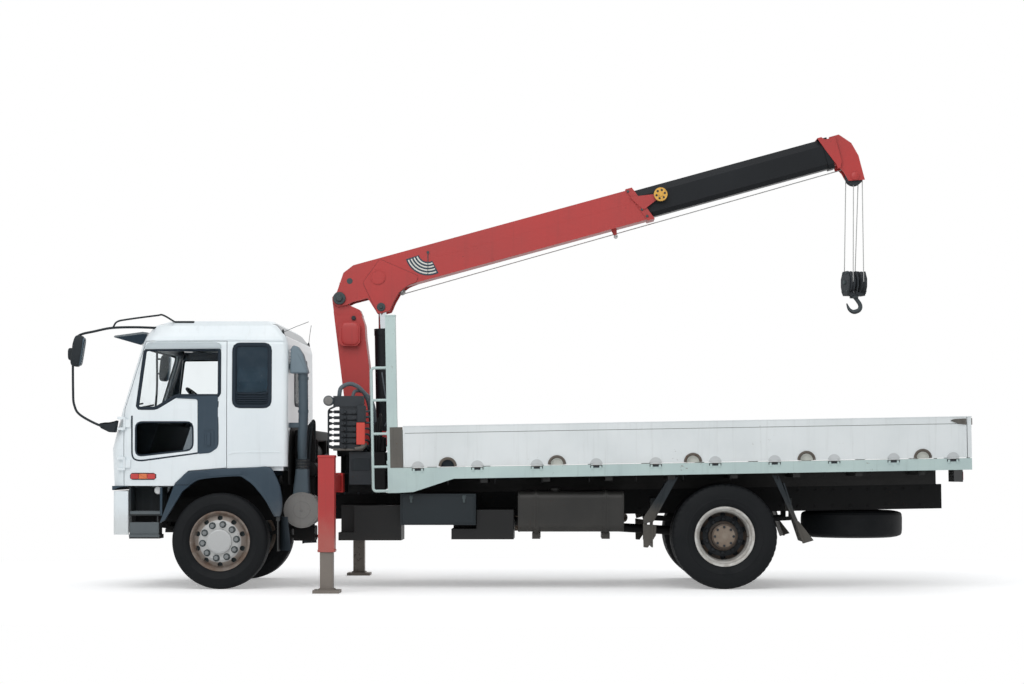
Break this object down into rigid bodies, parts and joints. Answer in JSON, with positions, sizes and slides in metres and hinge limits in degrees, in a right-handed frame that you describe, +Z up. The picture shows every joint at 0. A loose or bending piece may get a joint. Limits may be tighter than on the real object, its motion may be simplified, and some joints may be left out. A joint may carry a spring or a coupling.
{
  "type": "truck-mounted crane",
  "caption": "Two-axle flatbed truck with a tilting cab, drop-side load bed and a telescopic loader crane with outriggers behind the cab.",
  "frame": {"origin": "on the ground under the centre of the whole truck's box", "axes": "+X to the truck's rear, +Y to its right, +Z up"},
  "size_m": [8.9711, 3.55, 4.6754],
  "materials": {
    "cab_white": "gloss paint",
    "bed_green": "satin paint",
    "gate_white": "scuffed satin paint",
    "crane_red": "gloss paint, worn",
    "boom_black": "satin paint",
    "chassis_black": "matt paint",
    "tyre": "matt",
    "rim_grey": "worn paint",
    "rim_pale": "worn paint",
    "glass": "tinted",
    "trim_slate": "satin",
    "black_plastic": "matt",
    "seat_fabric": "woven",
    "steel": "ground",
    "chrome": "polished",
    "tank_grey": "dusty paint",
    "deck_wood": "weathered",
    "lamp": "gloss",
    "cast": "rough",
    "jack_grey": "worn paint",
    "visor": "gloss"
  },
  "bodies": {
    "chassis": {"ladder_frame": "chassis_black", "front_bumper": "cab_white", "lamps": "lamp", "front_axle": "cast", "rear_axle": "cast", "leaf_springs": "chassis_black", "engine": "cast", "fuel_tank": "tank_grey", "side_boxes": "trim_slate", "air_cleaner": "chassis_black", "muffler": "chassis_black", "spare_wheel": "tyre", "mudguards": "black_plastic", "cab_steps": "black_plastic", "crane_base": "chassis_black", "control_bank": "chassis_black", "bed_floor": "deck_wood", "bed_rails": "bed_green", "headboard": "bed_green"},
    "cab": {"cab_shell": "cab_white", "cab_front": "cab_white", "cab_roof": "cab_white", "cab_glass": "glass", "cab_flares": "trim_slate", "sun_visor": "visor", "mirrors": "black_plastic", "seats": "seat_fabric", "dashboard": "black_plastic", "snorkel": "black_plastic"},
    "door_l": {"door_left": "cab_white", "door_glass_left": "glass"},
    "door_r": {"door_right": "cab_white", "door_glass_right": "glass"},
    "steer_l": {"knuckle_left": "cast"},
    "steer_r": {"knuckle_right": "cast"},
    "wheel_fl": {"rim_front_left": "rim_grey", "tyre_front_left": "tyre"},
    "wheel_fr": {"rim_front_right": "rim_grey", "tyre_front_right": "tyre"},
    "wheel_rl": {"rim_rear_left": "rim_pale", "tyre_rear_left": "tyre"},
    "wheel_rr": {"rim_rear_right": "rim_pale", "tyre_rear_right": "tyre"},
    "gate_l": {"gate_left": "gate_white"},
    "gate_r": {"gate_right": "gate_white"},
    "gate_t": {"tailgate": "gate_white"},
    "column": {"crane_column": "crane_red"},
    "boom": {"boom_base": "crane_red"},
    "lift_cylinder": {"lift_barrel": "chassis_black"},
    "lift_ram": {"lift_rod": "chrome"},
    "boom_mid": {"boom_middle": "boom_black"},
    "boom_head": {"boom_tip": "crane_red"},
    "falls": {"head_sheaves": "cast", "hoist_falls": "steel"},
    "block": {"hook_block": "boom_black"},
    "hook_body": {"hook": "crane_red"},
    "outrigger_l": {"outrigger_beam_left": "crane_red"},
    "outrigger_r": {"outrigger_beam_right": "crane_red"},
    "jack_l": {"outrigger_jack_left": "jack_grey"},
    "jack_r": {"outrigger_jack_right": "jack_grey"}
  },
  "joints": [
    {"name": "cab_tilt", "type": "hinge", "parent": "chassis", "child": "cab", "pos_m": [-3.92355, 0, 0.77], "axis": [0, -1, 0], "range_deg": [0, 45]},
    {"name": "door_left_swing", "type": "hinge", "parent": "cab", "child": "door_l", "pos_m": [-3.93355, -1.113, 1.45], "axis": [0, 0, -1], "range_deg": [0, 70]},
    {"name": "door_right_swing", "type": "hinge", "parent": "cab", "child": "door_r", "pos_m": [-3.93355, 1.113, 1.45], "axis": [0, 0, 1], "range_deg": [0, 70]},
    {"name": "steer_left", "type": "hinge", "parent": "chassis", "child": "steer_l", "pos_m": [-2.99355, -0.8505, 0.479], "axis": [0, 0, 1], "range_deg": [-35, 35]},
    {"name": "steer_right", "type": "hinge", "parent": "chassis", "child": "steer_r", "pos_m": [-2.99355, 0.8505, 0.479], "axis": [0, 0, 1], "range_deg": [-35, 35]},
    {"name": "spin_front_left", "type": "hinge", "parent": "steer_l", "child": "wheel_fl", "pos_m": [-2.99355, -0.9625, 0.479], "axis": [0, 1, 0], "continuous": true},
    {"name": "spin_front_right", "type": "hinge", "parent": "steer_r", "child": "wheel_fr", "pos_m": [-2.99355, 0.9625, 0.479], "axis": [0, 1, 0], "continuous": true},
    {"name": "spin_rear_left", "type": "hinge", "parent": "chassis", "child": "wheel_rl", "pos_m": [2.02645, -0.825, 0.525], "axis": [0, 1, 0], "continuous": true},
    {"name": "spin_rear_right", "type": "hinge", "parent": "chassis", "child": "wheel_rr", "pos_m": [2.02645, 0.825, 0.525], "axis": [0, 1, 0], "continuous": true},
    {"name": "gate_left_drop", "type": "hinge", "parent": "chassis", "child": "gate_l", "pos_m": [1.48302, -1.18, 1.25387], "axis": [0.9998, 0, 0.0175], "range_deg": [0, 175]},
    {"name": "gate_right_drop", "type": "hinge", "parent": "chassis", "child": "gate_r", "pos_m": [1.48302, 1.18, 1.25387], "axis": [-0.9998, 0, -0.0175], "range_deg": [0, 175]},
    {"name": "tailgate_drop", "type": "hinge", "parent": "chassis", "child": "gate_t", "pos_m": [4.47657, 0, 1.30612], "axis": [0, 1, 0], "range_deg": [0, 175]},
    {"name": "slew", "type": "hinge", "parent": "chassis", "child": "column", "pos_m": [-1.69355, 0, 1.6], "axis": [0, 0, 1], "continuous": true},
    {"name": "luff", "type": "hinge", "parent": "column", "child": "boom", "pos_m": [-1.90155, 0, 2.967], "axis": [0, -1, 0], "range_deg": [-14, 62]},
    {"name": "lift_pivot", "type": "hinge", "parent": "column", "child": "lift_cylinder", "pos_m": [-1.44355, 0, 1.498], "axis": [0, -1, 0], "range_deg": [-0.75, 3.15]},
    {"name": "lift_slide", "type": "slide", "parent": "lift_cylinder", "child": "lift_ram", "axis": [-0.0176, 0, 0.9998], "range_m": [-0.1028, 0.4484]},
    {"name": "boom_extend", "type": "slide", "parent": "boom", "child": "boom_mid", "axis": [0.9646, 0, 0.2639], "range_m": [-1.87, 0.5]},
    {"name": "tip_extend", "type": "slide", "parent": "boom_mid", "child": "boom_head", "axis": [0.9646, 0, 0.2639], "range_m": [0, 2.2]},
    {"name": "hook_hang", "type": "hinge", "parent": "boom_head", "child": "falls", "pos_m": [3.46101, 0, 4.24223], "axis": [0, -1, 0], "range_deg": [-62.2, 14.2]},
    {"name": "hoist", "type": "slide", "parent": "falls", "child": "block", "axis": [0, 0, 1], "range_m": [0, 0.6], "deforming": ["hoist_falls"]},
    {"name": "hook_swivel", "type": "hinge", "parent": "block", "child": "hook_body", "pos_m": [3.46101, 0, 3.138], "axis": [0, 0, 1], "continuous": true},
    {"name": "outrigger_left_slide", "type": "slide", "parent": "chassis", "child": "outrigger_l", "axis": [0, -1, 0], "range_m": [-0.55, 0.1]},
    {"name": "outrigger_right_slide", "type": "slide", "parent": "chassis", "child": "outrigger_r", "axis": [0, 1, 0], "range_m": [-0.55, 0.1]},
    {"name": "jack_left_lift", "type": "slide", "parent": "outrigger_l", "child": "jack_l", "axis": [0, 0, 1], "range_m": [0, 0.35]},
    {"name": "jack_right_lift", "type": "slide", "parent": "outrigger_r", "child": "jack_r", "axis": [0, 0, 1], "range_m": [0, 0.35]}
  ],
  "couplings": [
    {"joint": "steer_right", "follows": "steer_left", "ratio": 1},
    {"joint": "lift_pivot", "follows": "luff", "ratio": 0.05},
    {"joint": "lift_slide", "follows": "luff", "m_per_rad": 0.41253},
    {"joint": "hook_hang", "follows": "luff", "ratio": -1}
  ]
}
